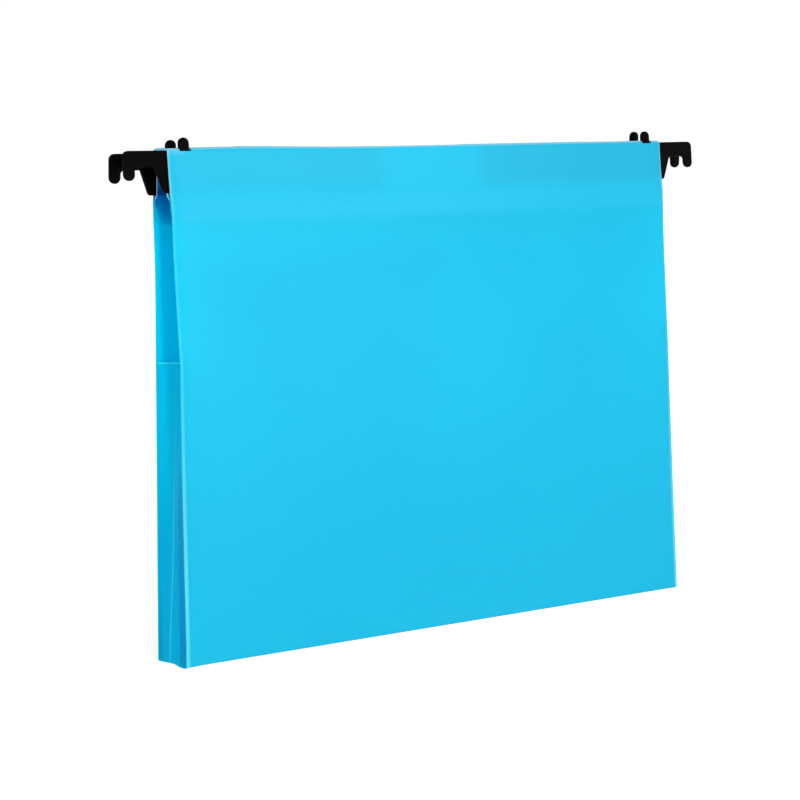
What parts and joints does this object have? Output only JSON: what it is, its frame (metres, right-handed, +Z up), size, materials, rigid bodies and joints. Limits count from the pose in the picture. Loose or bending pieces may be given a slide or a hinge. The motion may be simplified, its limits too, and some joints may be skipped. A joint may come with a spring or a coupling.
{
  "type": "hanging document pocket",
  "caption": "Box-bottom hanging pocket of translucent creased plastic sheet with side gussets, carried on two file rails by hooked arms in its folded hems.",
  "frame": {"origin": "midway between the four rail seats, which are the roofs of the hook notches", "axes": "+X along the pocket to its right end, +Y from the front sheet to the rear sheet, +Z up"},
  "size_m": [0.36, 0.025, 0.2456],
  "materials": {
    "pocket_sheet": "translucent cyan polypropylene sheet with a fine matt grain",
    "gusset_sheet": "the same sheet, seen darker where it folds in",
    "hanger": "black moulded plastic, satin"
  },
  "bodies": {
    "rear_panel": {"rear_panel": "pocket_sheet"},
    "rear_flap": {"rear_flap": "pocket_sheet", "rear_left_hanger_arm": "hanger", "rear_right_hanger_arm": "hanger"},
    "front_panel": {"front_panel": "pocket_sheet"},
    "front_flap": {"front_flap": "pocket_sheet", "front_left_hanger_arm": "hanger", "front_right_hanger_arm": "hanger"},
    "left_gusset_rear_leaf": {"left_gusset_rear_leaf": "gusset_sheet"},
    "left_gusset_front_leaf": {"left_gusset_front_leaf": "gusset_sheet"},
    "right_gusset_rear_leaf": {"right_gusset_rear_leaf": "gusset_sheet"},
    "right_gusset_front_leaf": {"right_gusset_front_leaf": "gusset_sheet"},
    "base_rear_leaf": {"base_rear_leaf": "pocket_sheet"},
    "base_front_leaf": {"base_front_leaf": "pocket_sheet"}
  },
  "joints": [
    {"name": "rear_flap_bend", "type": "hinge", "parent": "rear_panel", "child": "rear_flap", "pos_m": [0, 0.0114, -0.09052], "axis": [-1, 0, 0], "range_deg": [-0.5, 12], "stiffness_Nm_per_rad": 0.2},
    {"name": "front_flap_bend", "type": "hinge", "parent": "front_panel", "child": "front_flap", "pos_m": [0, -0.0114, -0.09052], "axis": [1, 0, 0], "range_deg": [-0.5, 12], "stiffness_Nm_per_rad": 0.2},
    {"name": "left_gusset_rear_crease", "type": "hinge", "parent": "rear_panel", "child": "left_gusset_rear_leaf", "pos_m": [-0.1559, 0.01095, -0.16082], "axis": [0.0228, -0.0078, 0.9997], "range_deg": [-5, 9], "stiffness_Nm_per_rad": 0.05},
    {"name": "left_gusset_middle_crease", "type": "hinge", "parent": "left_gusset_rear_leaf", "child": "left_gusset_front_leaf", "pos_m": [-0.1532, 0, -0.16082], "axis": [0.0497, 0, 0.9988], "range_deg": [-26, 18]},
    {"name": "left_gusset_front_crease", "type": "hinge", "parent": "left_gusset_front_leaf", "child": "front_panel", "pos_m": [-0.1559, -0.01095, -0.16082], "axis": [0.0228, 0.0078, 0.9997], "range_deg": [-9, 13]},
    {"name": "right_gusset_rear_crease", "type": "hinge", "parent": "rear_panel", "child": "right_gusset_rear_leaf", "pos_m": [0.1559, 0.01095, -0.16082], "axis": [-0.0228, -0.0078, 0.9997], "range_deg": [-13, 9]},
    {"name": "right_gusset_middle_crease", "type": "hinge", "parent": "right_gusset_rear_leaf", "child": "right_gusset_front_leaf", "pos_m": [0.1532, 0, -0.16082], "axis": [-0.0497, 0, 0.9988], "range_deg": [-18, 26]},
    {"name": "base_rear_crease", "type": "hinge", "parent": "rear_panel", "child": "base_rear_leaf", "pos_m": [0, 0.0115, -0.23112], "axis": [1, 0, 0], "range_deg": [-10.8, 15.6]},
    {"name": "base_middle_crease", "type": "hinge", "parent": "base_rear_leaf", "child": "base_front_leaf", "pos_m": [0, 0, -0.23122], "axis": [1, 0, 0], "range_deg": [-31.2, 21.6]}
  ],
  "couplings": [
    {"joint": "left_gusset_middle_crease", "follows": "left_gusset_rear_crease", "ratio": -2},
    {"joint": "left_gusset_front_crease", "follows": "left_gusset_rear_crease", "ratio": 1},
    {"joint": "right_gusset_rear_crease", "follows": "left_gusset_rear_crease", "ratio": -1},
    {"joint": "right_gusset_middle_crease", "follows": "left_gusset_rear_crease", "ratio": 2},
    {"joint": "base_rear_crease", "follows": "left_gusset_rear_crease", "ratio": 1.2},
    {"joint": "base_middle_crease", "follows": "left_gusset_rear_crease", "ratio": -2.4}
  ]
}
